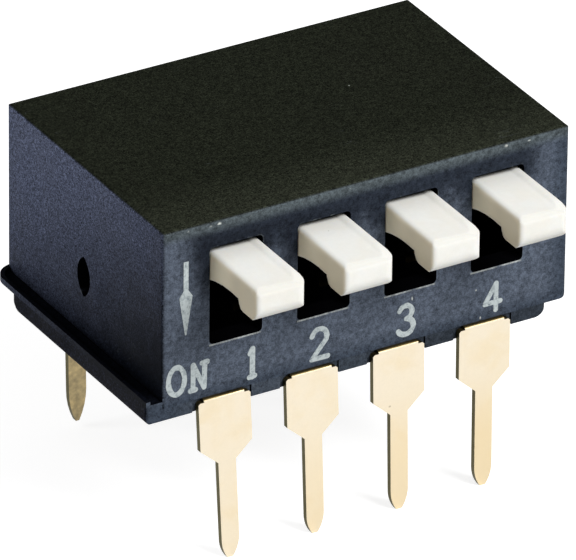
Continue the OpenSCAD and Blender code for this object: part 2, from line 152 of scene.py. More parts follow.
def remap(tree, value, low, high, new_low=0.0, new_high=1.0):
    """Maps a value from one range to another with soft ends."""
    node = add(tree, "MapRange", {"Value": value, "From Min": low, "From Max": high,
                                  "To Min": new_low, "To Max": new_high})
    node.interpolation_type = "SMOOTHSTEP"
    return node.outputs["Result"]


def calculate(tree, operation, first, second=0.0):
    """One step of arithmetic on values."""
    return add(tree, "Math", {0: first, 1: second}, operation=operation).outputs[0]


print("node helpers ready")

# %% [markdown]
# ## Shared effects as shader groups
# Grain, edge wear, dust and scratches show on more than one finish. Each is built once as
# a node group with named inputs, and every material sets its own values. A group could
# hold the whole shader too, but then each finish would be hard to read, so a group only
# puts out values, and the Principled shader stays in the material.


# %% Make the helper that starts a shader group
def new_group(name, inputs, outputs):
    """An empty shader group, with float inputs {name: default} and named outputs."""
    group = bpy.data.node_groups.new(name, "ShaderNodeTree")
    for socket_name, default in inputs.items():
        socket = group.interface.new_socket(socket_name, in_out="INPUT",
                                            socket_type="NodeSocketFloat")
        socket.default_value = default
    for socket_name in outputs:
        group.interface.new_socket(socket_name, in_out="OUTPUT",
                                   socket_type="NodeSocketFloat")
    entry = group.nodes.new("NodeGroupInput").outputs
    exit_ = group.nodes.new("NodeGroupOutput").inputs
    return group, entry, exit_


def millimetres(tree):
    """Coordinates that ride with the piece, in millimetres."""
    place = add(tree, "TexCoord").outputs["Object"]
    return add(tree, "VectorMath", {0: place, 3: 1 / MM}, operation="SCALE").outputs[0]


def use(tree, group, **values):
    """Places a group in a material, and gives back its output sockets."""
    node = add(tree, "Group", node_tree=group)
    for name, value in values.items():
        node.inputs[name.replace("_", " ").capitalize()].default_value = value
    return node.outputs


print("group helpers ready")

# %% [markdown]
# ### Fine grain
# Moulded black plastic has a spark-eroded texture: grains of a few hundredths of a
# millimetre. Two sizes of noise give it, and "Coarse" says how much wider the second is.
# The height goes to a bump, and the tint lightens and darkens the colour a little, so that
# the grain still shows in flat light.

# %% Build the grain group
grain, entry, exit_ = new_group(
    "fine_grain", {"Grain size": 0.05, "Contrast": 0.2, "Coarse": 3.3}, ["Height", "Tint"])
scale = calculate(grain, "DIVIDE", 1.0, entry["Grain size"])
coarse_scale = calculate(grain, "DIVIDE", scale, entry["Coarse"])
place = millimetres(grain)
fine = add(grain, "TexNoise", {"Vector": place, "Scale": scale, "Detail": 2.0})
coarse = add(grain, "TexNoise", {"Vector": place, "Scale": coarse_scale, "Detail": 2.0})
both = calculate(grain, "ADD", fine.outputs["Fac"], coarse.outputs["Fac"])
swing = calculate(grain, "MULTIPLY", calculate(grain, "SUBTRACT", both, 1.0),
                  entry["Contrast"])
grain.links.new(calculate(grain, "MULTIPLY", both, 0.5), exit_["Height"])
grain.links.new(calculate(grain, "ADD", swing, 1.0), exit_["Tint"])
print("grain group:", len(grain.nodes), "nodes")

# %% [markdown]
# ### Edge wear
# Handling rubs the corners first. The Bevel node gives the normal that a rounded edge
# would have, and where it differs from the true normal there is an edge. Noise breaks the
# line up. Pointiness would be cheaper, but it needs a dense, even mesh.

# %% Build the edge wear group
edge_wear, entry, exit_ = new_group(
    "edge_wear", {"Reach": 0.1, "Spread": 3.0, "Share": 0.5}, ["Mask"])
reach = calculate(edge_wear, "MULTIPLY", entry["Reach"], MM)
rounded = add(edge_wear, "Bevel", {"Radius": reach}, samples=6)
true_normal = add(edge_wear, "NewGeometry").outputs["Normal"]
agreement = add(edge_wear, "VectorMath", {0: rounded.outputs[0], 1: true_normal},
                operation="DOT_PRODUCT").outputs["Value"]
edge = remap(edge_wear, agreement, 0.995, 0.90)
breakup = add(edge_wear, "TexNoise", {"Vector": millimetres(edge_wear),
                                      "Scale": entry["Spread"], "Detail": 5.0})
limit = calculate(edge_wear, "SUBTRACT", 1.0, entry["Share"])
worn = remap(edge_wear, breakup.outputs["Fac"], calculate(edge_wear, "SUBTRACT", limit, 0.08),
             calculate(edge_wear, "ADD", limit, 0.08))
edge_wear.links.new(calculate(edge_wear, "MULTIPLY", edge, worn), exit_["Mask"])
print("edge wear group:", len(edge_wear.nodes), "nodes")

# %% [markdown]
# ### Recesses
# Corners and gaps in black plastic swallow the light that enters them. The Ambient
# Occlusion node says how much of the sky a point sees within a distance. Painting by that
# deepens the shade round the levers' roots and below the lip.

# %% Build the recess group
recess, entry, exit_ = new_group("recess", {"Reach": 6.0, "Shut": 0.25, "Open": 0.5}, ["Mask"])
reach = calculate(recess, "MULTIPLY", entry["Reach"], MM)
sky = add(recess, "AmbientOcclusion", {"Distance": reach}, samples=12).outputs["AO"]
recess.links.new(remap(recess, sky, entry["Open"], entry["Shut"]), exit_["Mask"])
print("recess group:", len(recess.nodes), "nodes")

# %% [markdown]
# ### Inner walls
# The inside of a housing lies in shade, and this mask says where it is painted near black as
# shade. A wall belongs to the inside when it doesn't lie in one of the outer planes. So the
# group takes the middle and the half size of the outer box, and asks for each axis whether
# the wall faces along it and lies deeper than a tenth of a millimetre. What stands out of
# the box, such as the lip, isn't meant.

# %% Build the inner walls group
inner_walls, entry, exit_ = new_group("inner_walls", {
    "Middle x": 0.0, "Middle y": 0.0, "Half x": 6.0, "Half y": 4.0, "Top z": 7.0}, ["Mask"])
place = add(inner_walls, "SeparateXYZ", {0: millimetres(inner_walls)}).outputs
facing = add(inner_walls, "SeparateXYZ", {0: add(inner_walls, "NewGeometry").outputs["Normal"]})
inside = 0.0
least = 10.0
for axis, letter in enumerate("xyz"):
    if letter == "z":
        depth = calculate(inner_walls, "SUBTRACT", entry["Top z"], place[2])
    else:
        away = calculate(inner_walls, "SUBTRACT", place[axis], entry["Middle " + letter])
        depth = calculate(inner_walls, "SUBTRACT", entry["Half " + letter],
                          calculate(inner_walls, "ABSOLUTE", away))
    along = remap(inner_walls, calculate(inner_walls, "ABSOLUTE", facing.outputs[axis]),
                  0.6, 0.8)
    deep = remap(inner_walls, depth, 0.1, 0.2)
    inside = calculate(inner_walls, "MAXIMUM", inside,
                       calculate(inner_walls, "MULTIPLY", along, deep))
    least = calculate(inner_walls, "MINIMUM", least, depth)
within = calculate(inner_walls, "GREATER_THAN", least, -0.03)
inner_walls.links.new(calculate(inner_walls, "MULTIPLY", inside, within), exit_["Mask"])
print("inner walls group:", len(inner_walls.nodes), "nodes")

# %% [markdown]
# ### Marks at a place
# Some marks belong to one spot, such as a nick or a crumb of dust. The distance from a
# point on the front face, stretched along Z, gives a soft oval. The group is placed once
# for each mark, with the spot in millimetres.

# %% Build the mark group
mark, entry, exit_ = new_group("front_mark", {"Across": 0.0, "Height": 3.0, "Radius": 0.05,
                                              "Stretch": 1.0}, ["Mask"])
place = add(mark, "SeparateXYZ", {0: millimetres(mark)}).outputs
away_x = calculate(mark, "SUBTRACT", place[0], entry["Across"])
away_z = calculate(mark, "DIVIDE", calculate(mark, "SUBTRACT", place[2], entry["Height"]),
                   entry["Stretch"])
squares = calculate(mark, "ADD", calculate(mark, "MULTIPLY", away_x, away_x),
                    calculate(mark, "MULTIPLY", away_z, away_z))
mark.links.new(remap(mark, calculate(mark, "SQRT", squares), entry["Radius"],
                     calculate(mark, "MULTIPLY", entry["Radius"], 0.4)), exit_["Mask"])
print("mark group:", len(mark.nodes), "nodes")

# %% [markdown]
# ### Dust specks
# A macro picture shows specks that the eye misses. A Voronoi texture scatters one point
# in each cell, and a random number per cell keeps only a share of them.

# %% Build the dust group
dust, entry, exit_ = new_group("dust_specks", {"Spacing": 0.5, "Radius": 0.1, "Share": 0.3},
                               ["Mask"])
cells = add(dust, "TexVoronoi", {"Vector": millimetres(dust),
                                 "Scale": calculate(dust, "DIVIDE", 1.0, entry["Spacing"])})
inner = calculate(dust, "MULTIPLY", entry["Radius"], 0.4)
dot = remap(dust, cells.outputs["Distance"], entry["Radius"], inner)
lot = add(dust, "SeparateColor", {0: cells.outputs["Color"]}).outputs[0]
chosen = calculate(dust, "LESS_THAN", lot, entry["Share"])
dust.links.new(calculate(dust, "MULTIPLY", dot, chosen), exit_["Mask"])
print("dust group:", len(dust.nodes), "nodes")

# %% [markdown]
# ### Scratches
# Rubbing on a bench leaves thin lines that run mostly one way. Noise that is stretched
# along X and then cut near its middle value gives long hairlines, and a second, broad
# noise lets them come and go.

# %% Build the scratch group
scratch, entry, exit_ = new_group("hairline_scratches",
                                  {"Density": 4.0, "Thinness": 0.01, "Share": 0.4}, ["Mask"])
place = millimetres(scratch)
stretched = add(scratch, "Mapping", {"Vector": place, "Scale": (0.12, 1.0, 0.5),
                                     "Rotation": (0, 0, 0.35)})
lines = add(scratch, "TexNoise", {"Vector": stretched.outputs[0], "Scale": entry["Density"],
                                  "Detail": 1.0})
offset = calculate(scratch, "ABSOLUTE",
                   calculate(scratch, "SUBTRACT", lines.outputs["Fac"], 0.5))
hairline = remap(scratch, offset, entry["Thinness"], 0.0)
patches = add(scratch, "TexNoise", {"Vector": place, "Scale": 0.8, "Detail": 2.0})
limit = calculate(scratch, "SUBTRACT", 1.0, entry["Share"])
here = remap(scratch, patches.outputs["Fac"], limit, calculate(scratch, "ADD", limit, 0.1))
scratch.links.new(calculate(scratch, "MULTIPLY", hairline, here), exit_["Mask"])
print("scratch group:", len(scratch.nodes), "nodes")

# %% [markdown]
# ### Slow variation
# No moulding or plating has exactly one colour. A broad, slow noise gives a factor near 1
# that multiplies the colour, and shifts the roughness.

# %% Build the slow variation group
variation, entry, exit_ = new_group("slow_variation", {"Size": 2.0, "Contrast": 0.1},
                                    ["Tint", "Cloud"])
cloud = add(variation, "TexNoise", {
    "Vector": millimetres(variation), "Detail": 3.0, "Distortion": 0.6,
    "Scale": calculate(variation, "DIVIDE", 1.0, entry["Size"])}).outputs["Fac"]
swing = calculate(variation, "MULTIPLY", calculate(variation, "SUBTRACT", cloud, 0.5),
                  calculate(variation, "MULTIPLY", entry["Contrast"], 2.0))
variation.links.new(calculate(variation, "ADD", swing, 1.0), exit_["Tint"])
variation.links.new(cloud, exit_["Cloud"])
print("variation group:", len(variation.nodes), "nodes")

# %% [markdown]
# ## A helper for materials
# Each finish starts as an empty material with one Principled shader. The values that are
# the same all over the surface are set on the shader itself.


# %% Make the helper that starts a material
def new_material(name, **constants):
    """A node material with one Principled shader, and constants set on its sockets."""
    material = bpy.data.materials.new(name)
    material.use_nodes = True
    tree = material.node_tree
    tree.nodes.clear()
    shader = add(tree, "BsdfPrincipled")
    for socket_name, value in constants.items():
        shader.inputs[socket_name.replace("_", " ")].default_value = value
    add(tree, "OutputMaterial", {"Surface": shader.outputs[0]})
    return material, tree, shader


def tinted(tree, colour, *factors):
    """Multiplies a colour by values near 1."""
    factor = factors[0]
    for other in factors[1:]:
        factor = calculate(tree, "MULTIPLY", factor, other)
    return mix(tree, 1.0, colour, factor, "MULTIPLY")


def bump(tree, shader, height, depth_mm, strength=1.0, normal=None):
    """Feeds a height to the shader's normal, as a relief of the given depth."""
    relief = add(tree, "Bump", {"Height": height, "Distance": depth_mm * MM,
                                "Strength": strength})
    if normal:
        tree.links.new(normal, relief.inputs["Normal"])
    tree.links.new(relief.outputs[0], shader.inputs["Normal"])


print("material helpers ready")

# %% [markdown]
# ## Black moulded plastic
# The cover is glass-filled black plastic. Its top is the darkest face, dull and a little
# green. The walls are smoother. Their own sheen is set very low, and a blue-grey painted
# reflection of the white floor stands in for it, brightest low on the front. The face that a
# point lies on is told from the normal, and the place on the face from coordinates in
# millimetres.

# %% Choose the blacks
TOP_BLACK = linear(29, 32, 24)
TOP_FRONT = linear(40, 43, 34)
# Front colours: a painted reflection of the floor, painted shade above the levers, and the painted
# reflection darker at the edges.
FRONT_REFLECTION = linear(83, 91, 104)
FRONT_SHADE = linear(40, 46, 56)
FRONT_EDGE = linear(58, 66, 78)
# Painted shadow of each lever on the front.
LEVER_SHADOW = linear(26, 30, 38)
TOP_LINE = linear(78, 86, 90)
# Painted reflection of the floor on the ends, bright and dark.
END_REFLECTION_BRIGHT = linear(88, 95, 117)
END_REFLECTION_DARK = linear(12, 15, 22)
# Painted deep shade, near black.
DEEP_SHADE = linear(9, 11, 18)
BASE_FLECK = linear(30, 33, 46)
# Painted reflection of the floor on the base's front.
BASE_FRONT = linear(48, 54, 62)
BASE_LEFT = linear(64, 71, 81)
# Painted shade in recesses and on inner walls.
RECESS_BLACK = linear(2, 2, 4)
RUBBED = linear(120, 128, 128)
SPECK = linear(200, 204, 200)
front_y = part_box("base")[0].y / MM
top_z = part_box("cover")[1].z / MM
above_lip = [v.co.x for v in nodes["cover"].data.vertices if v.co.z / MM > top_z - 1]
cover_box = (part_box("cover")[0].copy(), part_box("cover")[1].copy())
cover_box[0].x = min(above_lip)
cover_box[1].x = max(above_lip)
end_x = cover_box[0].x / MM
print("front face at y =", round(front_y, 2), "mm, left end at x =", round(end_x, 2), "mm")


# %% Build the helpers for black plastic
def faces_of(tree):
    """Masks for faces that look up, to the front and to an end."""
    normal = add(tree, "NewGeometry").outputs["Normal"]
    axis = add(tree, "SeparateXYZ", {0: normal}).outputs
    up_mask = remap(tree, axis[2], 0.5, 0.95)
    front_mask = remap(tree, axis[1], -0.5, -0.95)
    end_mask = remap(tree, calculate(tree, "ABSOLUTE", axis[0]), 0.5, 0.95)
    return up_mask, front_mask, end_mask


def finish_black(tree, shader, colour, front_mask, box, wear_share):
    """Grain, wear, scratches, specks, and painted shade in recesses and on inner walls, over a colour.
    """
    texture = use(tree, grain, grain_size=0.035, contrast=1.6)
    rougher = use(tree, grain, grain_size=0.028, contrast=3.2, coarse=1.7)
    slow = use(tree, variation, size=1.6, contrast=0.12)
    colour = tinted(tree, colour, texture["Tint"], slow["Tint"])
    colour = mix(tree, front_mask, tinted(tree, colour, rougher["Tint"]), colour)
    worn = use(tree, edge_wear, reach=0.08, spread=4.0, share=wear_share)
    height = add(tree, "SeparateXYZ", {0: millimetres(tree)}).outputs[2]
    low_z = box[0].z / MM
    in_reach = remap(tree, height, low_z + 0.3, low_z + 0.6, 0.0, 0.45)
    colour = mix(tree, calculate(tree, "MULTIPLY", worn["Mask"], in_reach), colour, RUBBED)
    lines = use(tree, scratch, density=3.0, thinness=0.004, share=0.42)
    colour = mix(tree, calculate(tree, "MULTIPLY", lines["Mask"], 0.2), colour, RUBBED)
    specks = use(tree, dust, spacing=0.5, radius=0.06, share=0.05)
    colour = mix(tree, calculate(tree, "MULTIPLY", specks["Mask"], 0.45), colour, SPECK)
    # Painted shade: recesses found by occlusion, and the inner walls, go near black.
    shade = use(tree, recess, shut=0.25, open=0.5)
    middle = (box[0] + box[1]) / 2 / MM
    half = (box[1] - box[0]) / 2 / MM
    inner = use(tree, inner_walls, middle_x=middle.x, middle_y=middle.y, half_x=half.x,
                half_y=half.y, top_z=box[1].z / MM)
    dark = calculate(tree, "MAXIMUM", shade["Mask"], inner["Mask"])
    colour = mix(tree, dark, colour, RECESS_BLACK)
    tree.links.new(colour, shader.inputs["Base Color"])
    rough = remap(tree, slow["Cloud"], 0.3, 0.7, 0.5, 0.62)
    rough = calculate(tree, "MAXIMUM", rough, dark)
    tree.links.new(rough, shader.inputs["Roughness"])
    bump(tree, shader, texture["Height"], 0.01, 0.5)


print("helpers for black plastic ready")

# %% [markdown]
# ### The cover
# Three masks pick the colour of each face. On the front the painted reflection gives way to
# painted shade between and above the levers, it is darker at the bottom and at the right
# end, and a pale line with specks runs along the very top. A modulo repeats marks at the
# pitch of the slots: a painted shadow round the upper part of each, where the lever keeps
# the light off, and a pale, rubbed line along the lower rim. On the ends the painted
# reflection is dark low down at the front and brighter towards the top and back. Upward
# faces lower than the top are painted in deep shade.

# %% Build the cover's plastic
PITCH = 2.54
SLOT_W = 1.53
SLOT_X = -4.19
SILL_Z = 3.4
SLOT_TOP = 6.15

NICKS = ((1.717, 3.13, 0.03, 2.5), (3.6, 2.86, 0.035, 1.0), (3.746, 2.02, 0.03, 1.8))

cover_plastic, tree, shader = new_material("cover_plastic", Specular_IOR_Level=0.03)
up_mask, front_mask, end_mask = faces_of(tree)
place = add(tree, "SeparateXYZ", {0: millimetres(tree)}).outputs
haze = use(tree, variation, size=0.7, contrast=0.3)
drift = calculate(tree, "MULTIPLY", calculate(tree, "SUBTRACT", haze["Cloud"], 0.5), 1.6)
# The front is a painted reflection of the floor that turns to painted shade above and between the
# levers.
climb = remap(tree, calculate(tree, "ADD", place[2], drift), 5.0, 6.2)
from_middle = calculate(tree, "ABSOLUTE", calculate(tree, "SUBTRACT", place[0], 0.3))
near_levers = remap(tree, from_middle, 5.5, 4.6)
front_colour = mix(tree, calculate(tree, "MULTIPLY", climb, near_levers), FRONT_REFLECTION, FRONT_SHADE)
across = calculate(tree, "FLOORED_MODULO", calculate(tree, "SUBTRACT", place[0], SLOT_X), PITCH)
to_left = calculate(tree, "MULTIPLY", calculate(tree, "SUBTRACT", PITCH, across), 0.62)
to_right = calculate(tree, "SUBTRACT", across, SLOT_W)
beside = calculate(tree, "MINIMUM", to_left, to_right)
above = calculate(tree, "SUBTRACT", place[2], SLOT_TOP)
outside = calculate(tree, "MAXIMUM", beside, above)
# Painted shadow of each lever round the upper part of its slot, stronger to the left.
lever_shadow = calculate(tree, "MULTIPLY", remap(tree, outside, 0.55, 0.05),
                 remap(tree, calculate(tree, "ADD", place[2], drift), 4.6, 5.3))
lever_shadow = calculate(tree, "MULTIPLY", lever_shadow, near_levers)
lever_shadow = calculate(tree, "MULTIPLY", lever_shadow, remap(tree, place[0], 1.5, -2.5, 0.25, 0.85))
front_colour = mix(tree, lever_shadow, front_colour, LEVER_SHADOW)
# The front's painted reflection is darker at the bottom and at the right end.
low_edge = remap(tree, place[2], 2.5, 1.9)
front_colour = mix(tree, low_edge, front_colour, FRONT_EDGE)
side_edge = remap(tree, place[0], cover_box[1].x / MM - 0.9, cover_box[1].x / MM)
front_colour = mix(tree, side_edge, front_colour, FRONT_EDGE)
top_line = remap(tree, place[2], top_z - 0.42, top_z - 0.12)
front_colour = mix(tree, top_line, front_colour, TOP_LINE)
# The ends carry a painted reflection of the floor: dark low at the front, bright high and at the back.
rise = calculate(tree, "ADD", calculate(tree, "MULTIPLY", place[1], 0.5), place[2])
end_reflection = remap(tree, calculate(tree, "ADD", rise, drift), 1.0, 8.0)
end_colour = mix(tree, end_reflection, END_REFLECTION_DARK, END_REFLECTION_BRIGHT)
near_front = remap(tree, place[1], front_y + 2.4, front_y)
top_colour = mix(tree, near_front, TOP_BLACK, TOP_FRONT)
# Upward faces lower than the top are painted in deep shade.
top_colour = mix(tree, remap(tree, place[2], top_z - 0.5, top_z - 1), top_colour, DEEP_SHADE)
edge_dots = use(tree, dust, spacing=0.22, radius=0.36, share=0.4)
at_edge = remap(tree, place[2], top_z - 0.16, top_z - 0.1)
front_colour = mix(tree, calculate(tree, "MULTIPLY", edge_dots["Mask"], at_edge), front_colour,
                   SPECK)
in_slot = remap(tree, beside, 0.0, -0.1)
under_slot = calculate(tree, "ABSOLUTE", calculate(tree, "SUBTRACT", place[2], SILL_Z - 0.02))
rim = calculate(tree, "MULTIPLY", remap(tree, under_slot, 0.036, 0.012), in_slot)
rim = calculate(tree, "MULTIPLY", rim, remap(tree, haze["Cloud"], 0.3, 0.5))
rim = calculate(tree, "MULTIPLY", rim, near_levers)
front_colour = mix(tree, calculate(tree, "MULTIPLY", rim, 0.6), front_colour, SPECK)
for across_mm, height_mm, radius, stretch in NICKS:
    nick = use(tree, mark, across=across_mm, height=height_mm, radius=radius, stretch=stretch)
    front_colour = mix(tree, calculate(tree, "MULTIPLY", nick["Mask"], 0.8), front_colour, SPECK)
colour = mix(tree, end_mask, linear(36, 40, 46), end_colour)
colour = mix(tree, front_mask, colour, front_colour)
colour = mix(tree, up_mask, colour, top_colour)
finish_black(tree, shader, colour, front_mask, cover_box, 0.4)
print("cover plastic ready")

# %% [markdown]
# ### The base
# The base is moulded from the same plastic. Its end and its upward faces are painted in deep
# shade, near black, with fine bluish flecks at the end. At the front, below the cover, it
# carries a painted reflection of the floor, paler towards the left and darker right at the
# left corner, with a near-black spot there.

# %% Build the base's plastic
base_plastic, tree, shader = new_material("base_plastic", Specular_IOR_Level=0.03)
up_mask, front_mask, end_mask = faces_of(tree)
place = add(tree, "SeparateXYZ", {0: millimetres(tree)}).outputs
# The base's front: a painted reflection of the floor, paler to the left, darker at the left corner.
at_corner = remap(tree, place[0], end_x + 0.9, end_x)
front_colour = mix(tree, remap(tree, place[0], 3.0, -3.0), BASE_FRONT, BASE_LEFT)
front_colour = mix(tree, at_corner, front_colour, FRONT_EDGE)
# A near-black spot at the left corner.
dark_spot = use(tree, mark, across=-5.9, height=2.18, radius=0.09)
front_colour = mix(tree, dark_spot["Mask"], front_colour, RECESS_BLACK)
flecks = use(tree, grain, grain_size=0.06, coarse=2.0)
flecked = calculate(tree, "MULTIPLY", remap(tree, flecks["Height"], 0.46, 0.6), 0.8)
# The base's end is painted in deep shade with bluish flecks, and so are its upward faces.
colour = mix(tree, flecked, DEEP_SHADE, BASE_FLECK)
colour = mix(tree, front_mask, colour, front_colour)
colour = mix(tree, up_mask, colour, DEEP_SHADE)
finish_black(tree, shader, colour, front_mask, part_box("base"), 0.3)
print("base plastic ready")

# %% [markdown]
# ## White lever plastic
# The levers are a warm white, slightly translucent plastic with a satin skin. A little
# subsurface light softens their shaded sides. Finger grease has made the surface duller
# and yellower in soft clouds, and the grain is much finer than on the black parts. A Bevel
# node rounds the edges a little more. The edges that face the key lamp are painted a little
# darker, as painted shade that damps their highlight. The left sides are painted in warm
# shade, lighter towards the root, and the arms inside the cover are painted near black, as
# painted shade.

# %% Build the levers' plastic
LEVER_WHITE = linear(240, 240, 235)
LEVER_AGED = linear(235, 233, 225)
GRIME = linear(120, 112, 96)
SIDE_SHADE = linear(208, 198, 174)
INSIDE_SHADE = linear(10, 9, 8)
LEVER_HIGHLIGHT_DAMP = linear(218, 217, 210)
SIDE_ROOT_LIT = linear(247, 237, 210)
KEY_DIRECTION = (0.1, -0.7, 0.7)

lever_plastic, tree, shader = new_material(
    "lever_plastic", Specular_IOR_Level=0.25, Subsurface_Weight=0.12,
    Subsurface_Radius=(1.0, 0.8, 0.55), Subsurface_Scale=0.35 * MM)
slow = use(tree, variation, size=1.1, contrast=0.05)
texture = use(tree, grain, grain_size=0.04, contrast=0.05)
aged = remap(tree, slow["Cloud"], 0.35, 0.7)
colour = mix(tree, aged, LEVER_WHITE, LEVER_AGED)
colour = tinted(tree, colour, slow["Tint"], texture["Tint"])
specks = use(tree, dust, spacing=0.5, radius=0.05, share=0.04)
colour = mix(tree, calculate(tree, "MULTIPLY", specks["Mask"], 0.5), colour, GRIME)
place = add(tree, "SeparateXYZ", {0: millimetres(tree)}).outputs
rounded = add(tree, "Bevel", {"Radius": 0.13 * MM}, samples=6).outputs[0]
normal = add(tree, "SeparateXYZ", {0: rounded}).outputs
to_left = remap(tree, normal[0], -0.5, -0.95)
# Painted shade: edges that face the key lamp are darkened to damp their highlight.
toward_key = add(tree, "VectorMath", {0: rounded, 1: KEY_DIRECTION}, operation="DOT_PRODUCT")
highlight_damped = remap(tree, toward_key.outputs["Value"], 0.8, 0.98)
colour = mix(tree, calculate(tree, "MULTIPLY", highlight_damped, 0.8), colour, LEVER_HIGHLIGHT_DAMP)
lever_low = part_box("lever_1")[0] / MM
# Painted shade on the left sides, warm, and painted lighter towards the root.
at_root = remap(tree, place[1], lever_low.y + 0.9, front_y - 0.2)
colour = mix(tree, to_left, colour, mix(tree, at_root, SIDE_SHADE, SIDE_ROOT_LIT))
# Painted shade: the arms inside the cover are near black.
colour = mix(tree, remap(tree, place[1], front_y + 0.05, front_y + 0.3), colour, INSIDE_SHADE)
tree.links.new(colour, shader.inputs["Base Color"])
tree.links.new(remap(tree, slow["Cloud"], 0.3, 0.7, 0.52, 0.66), shader.inputs["Roughness"])
bump(tree, shader, texture["Height"], 0.004, 0.5, rounded)
print("lever plastic ready")

# %% [markdown]
# ## Pale gold plating
# The leads are stamped from strip and plated. They are metal, so the colour sits in the
# reflection. The cut edges are duller and darker than the rolled faces, and their colour
# also holds painted shade on the sides. The upward faces of the bends are painted darker, as
# painted shade that damps their highlight, and the rear leads are painted darker and
# browner, as painted shade, with a mottle.

# %% Build the leads' plating
PLATING = linear(243, 231, 208)
PLATING_DULL = linear(240, 226, 198)
PLATING_LOW = linear(241, 222, 184)
PLATING_SHADED = linear(180, 160, 112)
CUT_EDGE_AND_SHADE = linear(96, 90, 58)
BENT_TOP_SHADE = linear(128, 112, 74)

lead_plating, tree, shader = new_material("lead_plating", Metallic=1.0)
slow = use(tree, variation, size=0.9, contrast=0.02)
texture = use(tree, grain, grain_size=0.03, contrast=0.05)
colour = mix(tree, remap(tree, slow["Cloud"], 0.45, 0.75), PLATING, PLATING_DULL)
colour = tinted(tree, colour, texture["Tint"], slow["Tint"])
place = add(tree, "SeparateXYZ", {0: millimetres(tree)}).outputs
low = calculate(tree, "MULTIPLY", remap(tree, place[2], 1.0, -1.5), remap(tree, place[0], -7.0, 4.5))
colour = mix(tree, low, colour, PLATING_LOW)
mottle = use(tree, grain, grain_size=0.12, contrast=1.2)
# Painted shade: the rear leads are darker and browner, with a mottle.
at_rear = calculate(tree, "MULTIPLY", remap(tree, place[1], 0.0, 2.0), 0.85)
colour = mix(tree, at_rear, colour, tinted(tree, PLATING_SHADED, mottle["Tint"]))
normal = add(tree, "SeparateXYZ", {0: add(tree, "NewGeometry").outputs["Normal"]}).outputs
sideways = calculate(tree, "ABSOLUTE", normal[0])
# Painted shade on the upward faces of the bends, damping their highlight.
colour = mix(tree, remap(tree, normal[2], 0.3, 0.75), colour, BENT_TOP_SHADE)
# Cut edges are duller and darker, and this colour also holds painted shade on the sides.
colour = mix(tree, remap(tree, sideways, 0.5, 0.9), colour, CUT_EDGE_AND_SHADE)
specks = use(tree, dust, spacing=0.8, radius=0.05, share=0.05)
nick = use(tree, mark, across=1.035, height=0.25, radius=0.05, stretch=0.7)
marks = calculate(tree, "MAXIMUM", specks["Mask"], nick["Mask"])
colour = mix(tree, calculate(tree, "MULTIPLY", marks, 0.5), colour, linear(150, 132, 96))
tree.links.new(colour, shader.inputs["Base Color"])
tree.links.new(remap(tree, slow["Cloud"], 0.3, 0.7, 0.38, 0.52), shader.inputs["Roughness"])
bump(tree, shader, texture["Height"], 0.003, 0.5)
print("lead plating ready")

# %% [markdown]
# ## Bright metals inside
# The pivot pin, the springs and the balls are hardly seen, but they show through the end
# windows and when a lever is down. One function makes all three metals, with a fine grain
# and a darker film in places.


# %% Build the metals of the mechanism
def inner_metal(name, clean, film, rough):
    """Drawn or polished metal with a thin film of old grease."""
    material, tree, shader = new_material(name, Metallic=1.0)
    slow = use(tree, variation, size=0.4, contrast=0.12)
    texture = use(tree, grain, grain_size=0.02, contrast=0.1)
    colour = mix(tree, remap(tree, slow["Cloud"], 0.4, 0.75), clean, film)
    colour = tinted(tree, colour, texture["Tint"])
    tree.links.new(colour, shader.inputs["Base Color"])
    tree.links.new(remap(tree, slow["Cloud"], 0.3, 0.7, rough, rough + 0.15),
                   shader.inputs["Roughness"])
    bump(tree, shader, texture["Height"], 0.002, 0.5)
    return material


pin_steel = inner_metal("pin_steel", linear(168, 166, 160), linear(110, 106, 98), 0.3)
spring_wire = inner_metal("spring_wire", linear(205, 186, 140), linear(140, 122, 84), 0.28)
ball_plating = inner_metal("ball_plating", linear(240, 208, 140), linear(196, 164, 100), 0.18)
print("inner metals ready")

# %% [markdown]
# ## Dress the construction model
# A node keeps its mesh, and only its material slot is filled. The name of the node says
# which finish it gets, so a table of name beginnings is all that is needed.

# %% Give each node its finish
FINISHES = {
    "cover": cover_plastic,
    "base": base_plastic,
    "lever": lever_plastic,
    "front_lead": lead_plating,
    "rear_lead": lead_plating,
    "pivot_pin": pin_steel,
    "contact_spring": spring_wire,
    "contact_ball": ball_plating,
}
for name, node in nodes.items():
    finish = next(f for start, f in FINISHES.items() if name.startswith(start))
    node.data.materials.clear()
    node.data.materials.append(finish)
print("dressed", len(nodes), "nodes")

# %% [markdown]
# ## Printing ink
# The arrow, ON and the numbers are pad-printed in a thin grey-white ink. It is worn: in
# places the black shows through, and the ink's edge is ragged. The print could be a
# texture, but as thin raised pieces it stays sharp at any distance.

# %% Build the ink
INK = linear(188, 197, 198)
INK_THIN = linear(158, 168, 171)

marking_ink, tree, shader = new_material("marking_ink", Specular_IOR_Level=0.3)
worn = use(tree, grain, grain_size=0.05, contrast=0.1)
slow = use(tree, variation, size=0.5, contrast=0.1)
thin = remap(tree, worn["Height"], 0.60, 0.46)
colour = mix(tree, thin, INK_THIN, INK)
colour = tinted(tree, colour, slow["Tint"])
# Bare spots take the front's colour, with its painted reflection of the floor.
bare = remap(tree, worn["Height"], 0.62, 0.70)
colour = mix(tree, bare, colour, FRONT_REFLECTION)
tree.links.new(colour, shader.inputs["Base Color"])
tree.links.new(remap(tree, slow["Cloud"], 0.3, 0.7, 0.55, 0.7), shader.inputs["Roughness"])
bump(tree, shader, worn["Height"], 0.004, 0.5)
print("ink ready")

# %% [markdown]
# ## Strokes of the print
# A printed sign is a few pen strokes. Each stroke is a chain of points, and a round-ended
# bar is laid along every pair of them. All bars of one sign are then merged into one flat
# outline with a constrained triangulation, and raised by the thickness of the ink. The
# triangles that came from no bar lie in the sign's holes and are left out.

# %% Make the helper that turns strokes into a raised sign
STROKE = 0.145
INK_THICKNESS = 0.008
random.seed(4)


